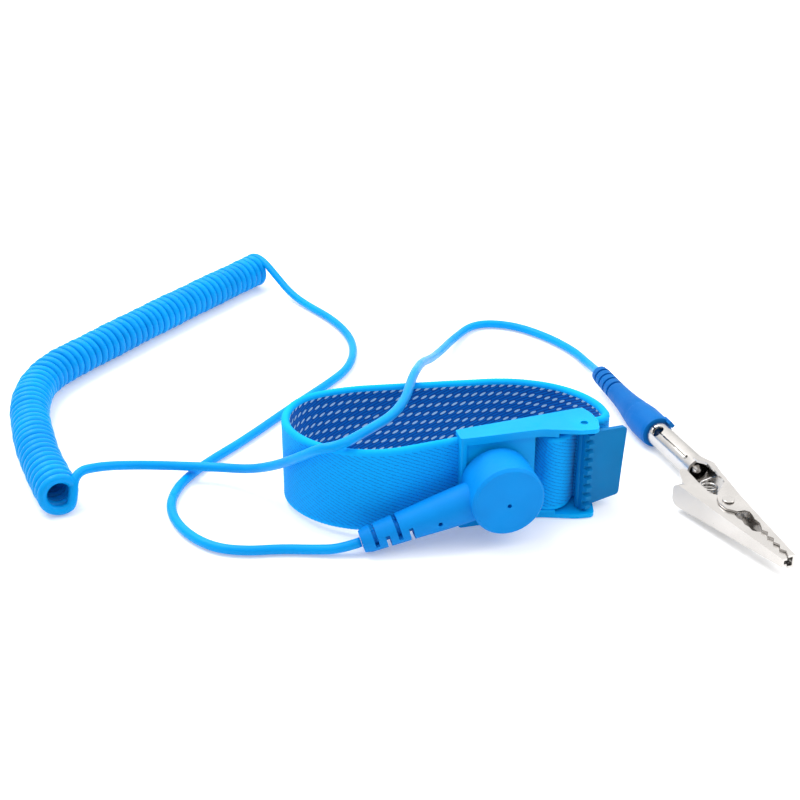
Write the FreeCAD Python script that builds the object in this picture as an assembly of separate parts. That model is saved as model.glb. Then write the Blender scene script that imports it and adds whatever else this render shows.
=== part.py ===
"""ESD wrist strap: elastic wrist band, cam buckle, snap cap, coiled cord, banana plug and crocodile clip.

Millimetres, +Z up.  The part lies on a table at z = 0.  The origin is the centre of the wrist band assembly
on the table, +X runs along the buckle's face, and -Y points out of the buckle towards the snap cap.
Shapes of the buckle are drawn from its back left corner, and the clip is drawn from the mouth of its barrel.
"""
import FreeCAD, Part
import math
import os

V = FreeCAD.Vector

# ---- driving dimensions, mm ----
BUCKLE_X = -1.5            # back left corner of the buckle in the part's frame
BUCKLE_Y = -8.9
RAIL_THICK = 1.0           # the two rails that the band runs between
RAIL_GAP = 20.4
BUCKLE_HEIGHT = RAIL_GAP + 2 * RAIL_THICK
MID_Z = BUCKLE_HEIGHT / 2
PLATE_FRONT = -3.4         # front face of the plate that carries the stud
PLATE_BACK = -2.15
PLATE_LENGTH = 17.2

BAND_WIDTH = 20.0
BAND_THICK = 1.9
BAND_LIFT = 1.25           # the band's lower edge sags from here in the buckle to the table at the back
BAND_BACK = 32.2
FIXED_END_Y = -1.2         # middle of the band's thickness behind the plate
FREE_END_Y = 1.05          # middle of the band's thickness behind the cam
FREE_END_X = 13.6

PIVOT_X = 28.4             # the cam lever's pivot
PIVOT_Y = -3.4
TRUNNION_R = 0.8
PIVOT_CLEARANCE = 0.05
LEVER_OPEN_DEG = 14.0      # the open lever's direction from +X
FLAP_LENGTH = 10.8
TOOTH_REACH = 3.1
TOOTH_COUNT = 9

STUD_X = 8.0
CAP_R = 8.1
CAP_FACE = 10.8            # the cap's front face, measured out from the plate
NECK_F = 5.1               # the neck's axis, measured out from the plate
NECK_DROP_DEG = 15.0       # the neck points to -X and this much down
NECK_REACH = 32.3          # from the stud's axis to the strain relief's end

CORD_D = 2.2
CORD_Z = 1.15              # middle of a cord that lies on the table
COIL_D = 9.8

CLIP_MOUTH = V(55.82, 8.215, 0)
CLIP_HEADING_DEG = -85.0
CLIP_Z = 4.1
BARREL_R = 3.0
BARREL_BORE_R = 2.4
BARREL_START = -2.1
SHEET = 0.5
CLIP_PIVOT = (35.4, -3.1)
BOOT_BEND_DEG = 3.3

# ---- routes of the cords' middles, mm, in the part's frame ----
CAP_LEAD = [
    (-24.85, -17.4, 2.8), (-29.3, -17.3, 1.6), (-34.8, -15.4, 1.15), (-41.7, -13.3, 1.15),
    (-49.2, -12.3, 1.15), (-56.0, -9.0, 1.15), (-61.2, -1.0, 1.15), (-63.2, 9.1, 1.15),
    (-61.7, 13.95, 1.15),
]
INNER_LEAD = [
    (-61.7, 13.95, 1.15), (-60.2, 18.8, 1.15),
    (-53.3, 27.2, 1.15), (-41.5, 37.2, 1.15), (-28.0, 50.8, 1.15), (-15.0, 62.9, 1.15),
    (-8.0, 70.6, 1.15), (-4.0, 81.1, 1.15), (-3.2, 92.1, 1.15), (-5.6, 104.0, 1.15),
    (-10.8, 116.0, 1.15), (-14.0, 123.5, 2.0), (-17.0, 129.8, 5.2), (-19.4, 134.4, 7.9),
    (-21.4, 138.6, 8.7),
]
COIL = [
    (-21.7, 138.3, 4.9), (-49.5, 114.2, 4.9), (-75.0, 90.6, 4.9), (-88.0, 78.2, 4.9),
    (-92.3, 62.0, 4.9), (-91.6, 45.0, 4.9), (-90.0, 30.0, 4.9), (-86.6, 14.1, 4.9),
]
OUTER_LEAD = [
    (-87.2, 14.6, 8.7), (-83.0, 18.0, 8.7), (-76.5, 21.9, 7.2), (-68.0, 24.2, 5.0),
    (-59.0, 23.6, 3.8), (-50.0, 20.6, 3.8), (-43.6, 13.6, 6.2), (-39.6, 4.6, 11.4),
    (-36.6, -3.8, 17.8), (-33.0, -9.9, 25.2), (-27.2, -11.6, 25.7), (-20.6, -6.8, 25.4),
    (-13.4, 0.4, 25.2), (-8.2, 8.6, 25.0), (-5.0, 16.6, 24.8), (-1.6, 25.0, 24.4),
    (3.6, 37.5, 17.6), (9.6, 52.0, 10.2), (16.6, 67.0, 4.8), (24.6, 81.0, 1.7),
    (33.4, 90.6, 1.15), (43.2, 87.4, 1.15), (50.4, 77.4, 1.15), (54.8, 66.0, 1.15),
    (55.4, 56.4, 1.5), (54.8, 50.2, 2.9), (54.05, 44.95, 4.1),
]


# ---- helpers ----
def seated(shape):
    """A shape drawn from the buckle's back left corner, moved to its place in the part's frame."""
    shape.translate(V(BUCKLE_X, BUCKLE_Y, 0))
    return shape


def block(x0, x1, y0, y1, z0, z1):
    return Part.makeBox(x1 - x0, y1 - y0, z1 - z0, V(x0, y0, z0))


def rod(start, direction, radius, length):
    return Part.makeCylinder(radius, length, start, direction)


def corner_arc(before, corner, after, radius):
    """The two tangent points and the arc of that radius at a corner."""
    u = (before - corner).normalize()
    w = (after - corner).normalize()
    half_turn = (math.pi - u.getAngle(w)) / 2
    reach = radius * math.tan(half_turn)
    bisector = (u + w).normalize()
    middle = corner + bisector * (radius / math.cos(half_turn) - radius)
    start = corner + u * reach
    end = corner + w * reach
    return start, end, Part.Arc(start, middle, end).toShape()


def prism(corners, z0, z1):
    """An upright prism.  A corner is (x, y) or (x, y, radius)."""
    points = [V(c[0], c[1], z0) for c in corners]
    radii = [c[2] if len(c) > 2 else 0 for c in corners]
    count = len(points)
    edges = []
    joints = []
    for i in range(count):
        if radii[i]:
            start, end, arc = corner_arc(points[i - 1], points[i], points[(i + 1) % count], radii[i])
            joints.append((start, end, arc))
        else:
            joints.append((points[i], points[i], None))
    for i in range(count):
        following = joints[(i + 1) % count]
        if joints[i][2]:
            edges.append(joints[i][2])
        if joints[i][1].distanceToPoint(following[0]) > 1e-6:
            edges.append(Part.LineSegment(joints[i][1], following[0]).toShape())
    face = Part.Face(Part.Wire(edges))
    return face.extrude(V(0, 0, z1 - z0))


def turned(profile, origin, direction):
    """A solid of revolution.  The profile's points are (distance along the axis, radius)."""
    points = [V(radius, 0, along) for along, radius in profile]
    face = Part.Face(Part.makePolygon(points + [points[0]]))
    solid = face.revolve(V(0, 0, 0), V(0, 0, 1), 360)
    if isinstance(solid, Part.Shell):
        solid = Part.makeSolid(solid)
    solid.Placement = FreeCAD.Placement(origin, FreeCAD.Rotation(V(0, 0, 1), direction))
    return solid


def route_wire(points):
    """Straight runs joined by tangent arcs, each as large as its two runs allow.  Also gives the radii."""
    points = [V(*p) for p in points]
    edges = []
    radii = []
    start = points[0]
    for before, corner, after in zip(points, points[1:], points[2:]):
        shorter = min((corner - before).Length, (after - corner).Length)
        half_turn = (corner - before).getAngle(after - corner) / 2
        radius = 0.45 * shorter / math.tan(half_turn)
        arc_start, arc_end, arc = corner_arc(before, corner, after, radius)
        edges.append(Part.LineSegment(start, arc_start).toShape())
        edges.append(arc)
        radii.append(radius)
        start = arc_end
    edges.append(Part.LineSegment(start, points[-1]).toShape())
    return Part.Wire(edges), radii


def tube(name, points, diameter):
    """A plain tube along a route, with its radii and volume printed."""
    wire, radii = route_wire(points)
    first = V(*points[0])
    ring = Part.Wire(Part.makeCircle(diameter / 2, first, V(*points[1]) - first))
    solid = Part.makeSolid(wire.makePipeShell([ring], True, True))
    expected = math.pi * diameter**2 / 4 * wire.Length
    print(
        f"{name}: length {wire.Length:.1f}, volume {solid.Volume:.1f} against {expected:.1f}, "
        f"radii {' '.join(f'{r:.0f}' for r in radii)}"
    )
    return solid


def save(name, shape):
    solids = shape.Solids
    if not solids or not all(s.isValid() and s.isClosed() for s in solids):
        raise RuntimeError(f"{name} is not made of valid closed solids")
    shape = solids[0] if len(solids) == 1 else Part.makeCompound(solids)
    shape.exportStep(f"parts/{name}.step")
    box = shape.BoundBox
    print(
        f"{name}: {len(solids)} solid(s), {shape.Volume:.1f} mm3, "
        f"x {box.XMin:.2f}..{box.XMax:.2f} y {box.YMin:.2f}..{box.YMax:.2f} z {box.ZMin:.2f}..{box.ZMax:.2f}"
    )


# ---- wrist band ----
RETURN_R = 3.4             # the tight bend beside the lever, where the band turns back into the buckle
RETURN_DEG = 97
RETURN_RUN = 4.5
RETURN_DROP = (
    RETURN_R * (math.cos(math.radians(87)) + math.cos(math.radians(10)))
    - RETURN_RUN * math.sin(math.radians(10)) - 10 * (1 - math.cos(math.radians(10)))
)


class BandOutline:
    """One long edge of the band's plan, at a distance to the left of its middle line, as it runs round the wrist."""

    def __init__(self, offset, x, y):
        self.offset = offset
        self.middle = V(x, y, 0)
        self.heading = math.pi
        self.edges = []

    def edge_point(self):
        left = V(-math.sin(self.heading), math.cos(self.heading), 0)
        return self.middle + left * self.offset

    def ahead(self, length):
        start = self.edge_point()
        self.middle += V(math.cos(self.heading), math.sin(self.heading), 0) * length
        self.edges.append(Part.LineSegment(start, self.edge_point()).toShape())

    def turn(self, radius, degrees):
        """An arc of the middle line, positive degrees to the right."""
        side = 1 if degrees > 0 else -1
        angle = math.radians(degrees)
        right = V(math.sin(self.heading), -math.cos(self.heading), 0)
        centre = self.middle + right * (radius * side)
        start = self.edge_point()
        points = []
        for share in (0.5, 1.0):
            heading = self.heading - angle * share
            right = V(math.sin(heading), -math.cos(heading), 0)
            left = right * -1
            points.append(centre - right * (radius * side) + left * self.offset)
        self.heading -= angle
        self.middle = points[1] - V(-math.sin(self.heading), math.cos(self.heading), 0) * self.offset
        self.edges.append(Part.Arc(start, points[0], points[1]).toShape())


def band_edge(offset):
    """From the fixed end behind the plate, left, round the wrist and back in behind the cam."""
    edge = BandOutline(offset, STUD_X + 5.0, FIXED_END_Y)
    edge.ahead(12.0)
    edge.turn(20, -7)
    edge.ahead(10.6)
    for radius, degrees in ((20, 55), (21, 25), (16, 50), (12, 45), (35, 20)):
        edge.turn(radius, degrees)
    edge.ahead(27.4)
    edge.turn(27, 30)
    edge.turn(21.5, 45)
    edge.turn(12, 10)
    edge.ahead((edge.middle.y - FREE_END_Y - RETURN_DROP) / -math.sin(edge.heading))
    edge.turn(RETURN_R, RETURN_DEG)
    edge.ahead(RETURN_RUN)
    edge.turn(10, -10)
    edge.ahead(edge.middle.x - FREE_END_X)
    return edge


def elastic_band():
    outer = band_edge(-BAND_THICK / 2)
    inner = band_edge(BAND_THICK / 2)
    ends = [
        Part.LineSegment(outer.edges[0].Vertexes[0].Point, inner.edges[0].Vertexes[0].Point).toShape(),
        Part.LineSegment(outer.edge_point(), inner.edge_point()).toShape(),
    ]
    groups = Part.sortEdges(outer.edges + inner.edges + ends)
    loop = Part.Face(Part.Wire(groups[0])).extrude(V(0, 0, 2 * BUCKLE_HEIGHT))
    loop.translate(V(0, 0, -BUCKLE_HEIGHT / 2))
    slope = BAND_LIFT / (BAND_BACK - FREE_END_Y - BAND_THICK / 2)
    low_front = slope * (BAND_BACK + 10)
    low_back = slope * (BAND_BACK - 40)
    corners = [
        V(-60, -10, low_front), V(-60, 40, low_back),
        V(-60, 40, low_back + BAND_WIDTH), V(-60, -10, low_front + BAND_WIDTH),
    ]
    slab = Part.Face(Part.makePolygon(corners + [corners[0]])).extrude(V(120, 0, 0))
    band = loop.common(slab)
    hole = rod(V(STUD_X, FIXED_END_Y - 2, MID_Z), V(0, 1, 0), EYELET_R, 3.2)
    return seated(band.cut(hole))


# ---- buckle ----
EYELET_R = 1.4
RAIL_OUTLINE = [
    (0, -4.1, 0.6), (18.5, -4.1, 8), (26.5, -6.8, 8), (30.6, -7.2, 1.5), (31.8, -3.0, 3),
    (31.4, 1.0, 2), (30.4, 3.6, 1.0), (0, 0.3, 0.4),
]
LIP_OUTLINE = [(0.8, -4.05), (18.5, -4.05, 8), (22, -5.22), (22, -4.5), (18.5, -3.3, 8), (0.8, -3.3)]
LIP_HEIGHT = 0.85
ANVIL_OUTLINE = [(22, 2.15), (30.2, 2.15), (30.2, 3.52), (22, 2.6)]


def buckle_frame():
    z_low = RAIL_THICK
    z_high = BUCKLE_HEIGHT - RAIL_THICK
    body = prism(RAIL_OUTLINE, 0, z_low)
    body = body.fuse(prism(RAIL_OUTLINE, z_high, BUCKLE_HEIGHT))
    body = body.fuse(block(0, PLATE_LENGTH, PLATE_FRONT, PLATE_BACK, z_low, z_high))
    body = body.fuse(prism([(0, -4.1, 0.6), (1.5, -4.1, 0.4), (1.5, PLATE_BACK), (0, PLATE_BACK)], z_low, z_high))
    body = body.fuse(prism(ANVIL_OUTLINE, z_low, z_high))
    body = body.fuse(prism(LIP_OUTLINE, z_low - 0.3, z_low + LIP_HEIGHT))
    body = body.fuse(prism(LIP_OUTLINE, z_high - LIP_HEIGHT, z_high + 0.3))
    body = body.removeSplitter()
    body = body.cut(rod(V(STUD_X, -5, MID_Z), V(0, 1, 0), EYELET_R, 4))
    pivot_hole = rod(V(PIVOT_X, PIVOT_Y, -1), V(0, 0, 1), TRUNNION_R + PIVOT_CLEARANCE, BUCKLE_HEIGHT + 2)
    return seated(body.cut(pivot_hole))


def clamp_lever():
    """Flap, hub, trunnions and toothed cam, drawn with the pivot at the origin and the flap along +X."""
    z_low = RAIL_THICK + 0.2
    z_high = BUCKLE_HEIGHT - RAIL_THICK - 0.2
    hub = rod(V(0, 0, z_low), V(0, 0, 1), 1.15, z_high - z_low)
    trunnions = rod(V(0, 0, 0.4), V(0, 0, 1), TRUNNION_R, BUCKLE_HEIGHT - 0.8)
    flap = prism([(0, 1.75), (FLAP_LENGTH - 1.2, 2.45, 0.8), (FLAP_LENGTH, 19.35, 0.8), (0, 20.5)], 0, 1.1)
    flap.rotate(V(0, 0, 0), V(1, 0, 0), 90)
    flap.translate(V(0, -0.4, 0))
    cam = block(-0.85, 1.3, -2.0, 0, z_low, z_high)
    lever = hub.fuse([trunnions, flap, cam])
    pitch = (z_high - z_low) / TOOTH_COUNT
    for i in range(TOOTH_COUNT):
        middle = z_low + pitch * (i + 0.5)
        root = [
            V(-0.85, -1.9, middle - 0.36 * pitch), V(1.3, -1.9, middle - 0.36 * pitch),
            V(1.3, -1.9, middle + 0.36 * pitch), V(-0.85, -1.9, middle + 0.36 * pitch),
        ]
        tip = [
            V(-0.5, -TOOTH_REACH, middle - 0.2 * pitch), V(0.9, -TOOTH_REACH, middle - 0.2 * pitch),
            V(0.9, -TOOTH_REACH, middle + 0.2 * pitch), V(-0.5, -TOOTH_REACH, middle + 0.2 * pitch),
        ]
        tooth = Part.makeLoft([Part.makePolygon(root + [root[0]]), Part.makePolygon(tip + [tip[0]])], True, True)
        lever = lever.fuse(tooth)
    lever = lever.removeSplitter()
    lever.rotate(V(0, 0, 0), V(0, 0, 1), LEVER_OPEN_DEG)
    lever.translate(V(PIVOT_X, PIVOT_Y, 0))
    return seated(lever)


# ---- snap fastener: distances are measured out from the plate's front face ----
def on_stud_axis(profile):
    return seated(turned(profile, V(STUD_X, PLATE_FRONT, MID_Z), V(0, -1, 0)))


def skin_contact_plate():
    back = FIXED_END_Y + BAND_THICK / 2
    plate = block(STUD_X - 5.0, STUD_X + 5.0, back, back + 0.5, MID_Z - 7, MID_Z + 7)
    upright = [e for e in plate.Edges if abs(e.Vertexes[0].X - e.Vertexes[-1].X) < 1e-6
               and abs(e.Vertexes[0].Z - e.Vertexes[-1].Z) < 1e-6]
    plate = plate.makeFillet(2.0, upright)
    return seated(plate.cut(rod(V(STUD_X, back - 1, MID_Z), V(0, 1, 0), EYELET_R, 3)))


def stud_eyelet():
    back = PLATE_FRONT - (FIXED_END_Y + BAND_THICK / 2 + 0.5)
    return on_stud_axis([(back, 1.0), (back - 0.3, 1.3), (back - 0.3, 2.6), (back, 2.8), (back, EYELET_R),
                         (1.2, EYELET_R), (1.2, 1.0)])


def snap_stud():
    return on_stud_axis([(0, EYELET_R), (0, 4.3), (0.45, 4.3), (0.45, 1.7), (1.6, 1.65), (2.0, 2.0), (3.0, 2.0),
                         (3.6, 1.3), (3.6, 0), (3.0, 0), (3.0, EYELET_R)])


def snap_socket():
    return on_stud_axis([(0.8, 2.2), (0.8, 4.9), (1.15, 4.9), (1.15, 2.8), (4.3, 2.8), (4.3, 0.6), (3.9, 0.6),
                         (3.9, 2.2), (1.75, 2.2), (1.75, 2.45), (1.15, 2.45), (1.15, 2.2)])


def socket_spring():
    ring = Part.makeTorus(2.12, 0.25, V(STUD_X, PLATE_FRONT - 1.45, MID_Z), V(0, -1, 0))
    return seated(ring)


# ---- snap cap: the neck's own axis starts on the stud's axis ----
NECK_DIRECTION = V(-math.cos(math.radians(NECK_DROP_DEG)), 0, -math.sin(math.radians(NECK_DROP_DEG)))
NECK_START = V(STUD_X, PLATE_FRONT - NECK_F, MID_Z)
NECK_PROFILE = [(4, 0), (4, 4.3), (9, 4.25), (14, 4.0), (20, 3.55), (30.8, 2.9), (NECK_REACH, 2.45), (NECK_REACH, 0)]
INSERT_R = 6.1
INSERT_TOP = 8.6
RESISTOR_BORE = 1.3
CORD_GRIP = 20.6           # where the cord's jacket starts in the neck
RELIEF_SLOTS = [(21.6, 1), (24.2, -1), (26.8, 1), (29.4, -1)]


def on_neck_axis(profile):
    return seated(turned(profile, NECK_START, NECK_DIRECTION))


def along_neck(shape):
    """A shape drawn with the neck along +X and the cap's front along +Z, turned onto the neck's axis."""
    shape.rotate(V(0, 0, 0), V(1, 0, 0), 90)
    shape.rotate(V(0, 0, 0), V(0, 1, 0), 180 - NECK_DROP_DEG)
    shape.translate(V(STUD_X, PLATE_FRONT, MID_Z))
    return seated(shape)


def cap_overmould():
    disc = on_stud_axis([(0.75, 0), (0.75, 7.7), (1.15, CAP_R), (10.1, CAP_R), (CAP_FACE, 7.5), (CAP_FACE, 0)])
    body = disc.fuse(on_neck_axis(NECK_PROFILE))
    body = body.cut(on_stud_axis([(0.7, 0), (0.7, 4.95), (1.15, 4.95), (1.15, INSERT_R), (INSERT_TOP, INSERT_R),
                                  (INSERT_TOP, 0)]))
    body = body.cut(on_neck_axis([(5, 0), (5, RESISTOR_BORE), (CORD_GRIP, RESISTOR_BORE), (CORD_GRIP, CORD_D / 2),
                                  (NECK_REACH + 1, CORD_D / 2), (NECK_REACH + 1, 0)]))
    for position, side in RELIEF_SLOTS:
        low, high = (-1.0, 6.0) if side > 0 else (-6.0, 1.0)
        slot = block(position - 0.45, position + 0.45, low, high, NECK_F - 6, NECK_F + 6)
        core = rod(V(position - 1, 0, NECK_F), V(1, 0, 0), 1.6, 2)
        body = body.cut(along_neck(slot.cut(core)))
    for x, z in ((STUD_X + 0.1, MID_Z - 0.9), (-6.7, 6.9)):
        body = body.cut(seated(rod(V(x, PLATE_FRONT - CAP_FACE - 0.1, z), V(0, 1, 0), 0.5, 1.3 if x > 0 else 4.0)))
    return body


def cap_insert():
    body = on_stud_axis([(1.15, 2.8), (1.15, INSERT_R), (INSERT_TOP, INSERT_R), (INSERT_TOP, 0), (4.3, 0), (4.3, 2.8)])
    terminal_room = on_stud_axis([(4.2, 0), (4.2, 2.6), (4.9, 2.6), (4.9, 0)])
    lead_room = along_neck(block(0, 7, -1.3, 1.3, 4.3, 6.4))
    return body.cut(terminal_room).cut(lead_room)


def socket_terminal():
    washer = on_stud_axis([(4.3, 0), (4.3, 2.4), (4.82, 2.4), (4.82, 0)])
    tab = along_neck(block(1.5, 5.8, -0.8, 0.8, 4.3, NECK_F - 0.28))
    return washer.fuse(tab).removeSplitter()


def resistor_body():
    return on_neck_axis([(9.5, 0), (9.5, 0.9), (10, 1.2), (11.3, 1.2), (11.8, 1.0), (14.2, 1.0), (14.7, 1.2), (16, 1.2),
                         (16.5, 0.9), (16.5, 0)])


def resistor_leads():
    inner = on_neck_axis([(3.2, 0), (3.2, 0.28), (9.5, 0.28), (9.5, 0)])
    outer = on_neck_axis([(16.5, 0), (16.5, 0.28), (19, 0.28), (19, 0)])
    return Part.makeCompound([inner, outer])


def cord_crimp():
    return on_neck_axis([(17.4, 0.28), (17.4, 0.95), (20.4, 0.95), (20.4, 0), (19, 0), (19, 0.28)])


def cap_cord_core():
    return on_neck_axis([(CORD_GRIP, 0), (CORD_GRIP, CORD_D / 2), (NECK_REACH, CORD_D / 2), (NECK_REACH, 0)])


# ---- banana plug and crocodile clip: drawn with the clip's axis along +X, its mouth at the origin ----
def on_clip(shape):
    shape.rotate(V(0, 0, 0), V(0, 0, 1), CLIP_HEADING_DEG)
    shape.translate(CLIP_MOUTH + V(0, 0, CLIP_Z))
    return shape


def on_clip_axis(profile):
    return on_clip(turned(profile, V(0, 0, 0), V(1, 0, 0)))


BOOT_FACE = BARREL_START - 0.3
BOOT_FRONT = [(BOOT_FACE, 0), (BOOT_FACE, 3.85), (-3.6, 4.05), (-9, 4.05), (-12, 3.75), (-12, 0)]
BOOT_REAR_LENGTH = 24.6
BOOT_RIB_PITCH = 2.7
BOOT_RIBS = 4
BOOT_LAST_RIB = 22.6
PIN_TAIL = 12.0
LIP_DEG = 40               # the boot's lip sits this far round from +Y towards +Z


def boot_rear_profile():
    """Distance behind the bend and radius: a cone, then ribs with grooves between them."""
    profile = [(-0.5, 0), (-0.5, 3.6), (2, 3.5), (6, 3.0), (11, 2.65)]
    start = BOOT_LAST_RIB - BOOT_RIB_PITCH * BOOT_RIBS
    for i in range(BOOT_RIBS):
        groove = start + BOOT_RIB_PITCH * (i + 0.75)
        radius = 2.55 - 0.05 * i
        profile += [(groove, radius), (groove, radius - 0.5), (groove + 0.7, radius - 0.5), (groove + 0.7, radius)]
    return profile + [(BOOT_REAR_LENGTH, 2.2), (BOOT_REAR_LENGTH, 0)]


def boot_rear(profile):
    solid = turned(profile, V(-12, 0, 0), V(-1, 0, 0))
    solid.rotate(V(-12, 0, 0), V(0, 0, 1), -BOOT_BEND_DEG)
    return on_clip(solid)


def banana_boot():
    boot = on_clip_axis(BOOT_FRONT).fuse(boot_rear(boot_rear_profile()))
    lip = block(BOOT_FACE - 1.4, BOOT_FACE + 1.6, BARREL_R + 0.3, BARREL_R + 1.2, -0.9, 0.9)
    lip.rotate(V(0, 0, 0), V(1, 0, 0), LIP_DEG)
    boot = boot.fuse(on_clip(lip)).removeSplitter()
    boot = boot.cut(on_clip_axis([(1, 0), (1, 1.5), (-PIN_TAIL, 1.5), (-PIN_TAIL, 0)]))
    return boot.cut(boot_rear([(0.2, 0), (0.2, CORD_D / 2), (BOOT_REAR_LENGTH + 1, CORD_D / 2), (BOOT_REAR_LENGTH + 1, 0)]))


def boot_cord_core():
    return boot_rear([(0.2, 0), (0.2, CORD_D / 2), (BOOT_REAR_LENGTH, CORD_D / 2), (BOOT_REAR_LENGTH, 0)])


def banana_pin():
    return on_clip_axis([(-PIN_TAIL, 0), (-PIN_TAIL, 1.5), (BOOT_FACE, 1.5), (BOOT_FACE, 1.3), (1.5, 1.3), (1.5, 1.0), (15.5, 1.0),
                         (15.5, 1.3), (16.6, 1.2), (17.4, 0.6), (17.4, 0)])


def pin_springs():
    """The bulged leaf sleeve round the pin, slit into four leaves."""
    sleeve = turned([(1.5, 1.0), (1.5, 1.3), (4.5, 2.05), (8.5, 2.33), (12.5, 2.05), (15.5, 1.3), (15.5, 1.0),
                     (12.5, 1.75), (8.5, 2.03), (4.5, 1.75)], V(0, 0, 0), V(1, 0, 0))
    for degrees in (45, 135):
        slit = block(3, 14, -3, 3, -0.2, 0.2)
        slit.rotate(V(0, 0, 0), V(1, 0, 0), degrees)
        sleeve = sleeve.cut(slit)
    return on_clip(sleeve)


TIP = 57.3
TOOTH_START = 47.3
TOOTH_PITCH = 2.35
JAW_TEETH = 4
JAW_GAP = 0.1


def mating_teeth(shift):
    """The toothed line where the jaws meet, from the hollow to the tip."""
    line = []
    for i in range(JAW_TEETH):
        along = TOOTH_START + TOOTH_PITCH * i
        line += [(along, -1.95 + shift), (along + TOOTH_PITCH / 2, -1.15 + shift)]
    return line


def tapered(root_half, half, tip_half, inset):
    """The clip seen along its opening direction: it flares from the barrel, then narrows to the tip."""
    shape = [(12, root_half), (FLARE_START, root_half), (FLARE_END, half), (TAPER_START, half), (TIP + 1, tip_half)]
    corners = [V(x, 0, -(w - inset)) for x, w in shape] + [V(x, 0, w - inset) for x, w in shape[::-1]]
    solid = Part.Face(Part.makePolygon(corners + [corners[0]])).extrude(V(0, 60, 0))
    solid.translate(V(0, -30, 0))
    return solid


FLARE_START = 16.0
FLARE_END = 20.0
TAPER_START = 27.0
UPPER_HALF = 3.3           # half of the upper jaw's width, then of the same at its tip
UPPER_TIP_HALF = 1.5
LOWER_HALF = UPPER_HALF - SHEET - 0.1
LOWER_TIP_HALF = UPPER_TIP_HALF - SHEET - 0.1
UPPER_BACK = [(16.0, 3.15), (20.3, 2.2), (25.3, 1.35), (34.3, 0.6), (45.3, 0.2), (TIP, -0.1)]
LOWER_BACK = [(24.2, -10.5), (35.9, -7.9), (TIP, -3.1)]


def upper_sheet(inset):
    """The outside of the upper jaw's channel, or its inside with the sheet's thickness as the inset."""
    rounding = turned([(12, 0), (12, 3.2 - inset), (16.5, 3.2 - inset), (25, 5.0 - inset), (70, 5.0 - inset), (70, 0)],
                      V(0, 0, 0), V(1, 0, 0))
    rounding = rounding.fuse(block(11, 71, -12, -0.3, -4, 4))
    return tapered(3.1, UPPER_HALF, UPPER_TIP_HALF, inset).common(rounding)


def clip_upper_jaw():
    lobe_x, lobe_y = CLIP_PIVOT
    front = [(TIP, -1.7)] + mating_teeth(0)[::-1]
    hollow = [(46.6, -1.6), (45.1, -1.05), (43.4, -1.3), (42.0, -1.0), (40.6, -0.9), (39.8, -1.6), (39.7, -3.3)]
    ear = [(38.0, -5.1, 1.5), (35.5, -5.5, 3), (32.9, -4.5, 2)]
    window = [(30.5, -2.1), (28.4, 0.05, 1), (23.2, 0.5, 3), (19.7, 0.4, 1.5), (17.8, -1.0), (16.0, -1.0)]
    outer = prism(UPPER_BACK + front + hollow + ear + window, -4, 4).common(upper_sheet(0))
    below = [(x, y - SHEET) for x, y in UPPER_BACK]
    below = [(13, below[0][1])] + below + [(70, below[-1][1] - 1.5), (70, -20), (13, -20)]
    jaw = outer.cut(prism(below, -4, 4).common(upper_sheet(SHEET)))
    barrel = turned([(BARREL_START, BARREL_BORE_R), (BARREL_START, BARREL_R), (17.3, BARREL_R),
                     (17.3, BARREL_BORE_R)], V(0, 0, 0), V(1, 0, 0))
    jaw = jaw.fuse(barrel)
    seam = block(-3, 14.2, -0.2, 0.2, 0, 4).fuse(rod(V(14.2, 0, 0), V(0, 0, 1), 0.5, 4))
    seam = seam.fuse(rod(V(0.6, 0, 0), V(0, 0, 1), 1.5, 4))
    seam.rotate(V(0, 0, 0), V(1, 0, 0), SEAM_DEG)
    jaw = jaw.cut(seam)
    jaw = jaw.cut(rod(V(lobe_x, lobe_y, -5), V(0, 0, 1), 0.9, 10))
    return on_clip(jaw)


SEAM_DEG = 37              # the barrel's open seam, from +Z towards -Y
TAIL_ROUND = 1.8           # rounded corners of the thumb tail


def clip_lower_jaw():
    ear_x, ear_y = CLIP_PIVOT
    teeth = mating_teeth(-JAW_GAP)
    hollow = [(39.9, -4.1), (41.3, -4.2), (42.3, -3.75), (43.8, -3.95), (44.9, -3.55), (46.2, -3.6), (46.9, -2.9)]
    rear = [(25.2, -8.6, 0.8), (20.4, -6.9, 2), (18.0, -4.8, 0.7)]
    ear = [(26.0, -5.2, 4), (30.8, -5.0, 1), (33.0, -2.6), (33.6, -1.2, 1), (37.2, -1.2, 1), (39.1, -3.0)]
    side = LOWER_BACK[::-1] + rear + ear + hollow + teeth + [(TIP, -1.9)]
    outer = prism(side, -4, 4).common(tapered(LOWER_HALF, LOWER_HALF, LOWER_TIP_HALF, 0))
    above = [(x, y + SHEET) for x, y in LOWER_BACK]
    inner_side = [(14, above[0][1] - 2.3)] + above + [(65, above[2][1] + 1.7), (65, 20), (14, 20)]
    inner = prism(inner_side, -4, 4).common(tapered(LOWER_HALF, LOWER_HALF, LOWER_TIP_HALF, SHEET))
    jaw = outer.cut(inner)
    for side in (-1, 1):
        middle = side * (LOWER_HALF - TAIL_ROUND)
        corner = block(23, 24.2 + TAIL_ROUND, -12, -8.65, *sorted((middle, side * 4)))
        jaw = jaw.cut(corner.cut(rod(V(24.2 + TAIL_ROUND, -13, middle), V(0, 1, 0), TAIL_ROUND, 6)))
    jaw = jaw.cut(rod(V(ear_x, ear_y, -5), V(0, 0, 1), 0.95, 10))
    return on_clip(jaw)


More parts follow.
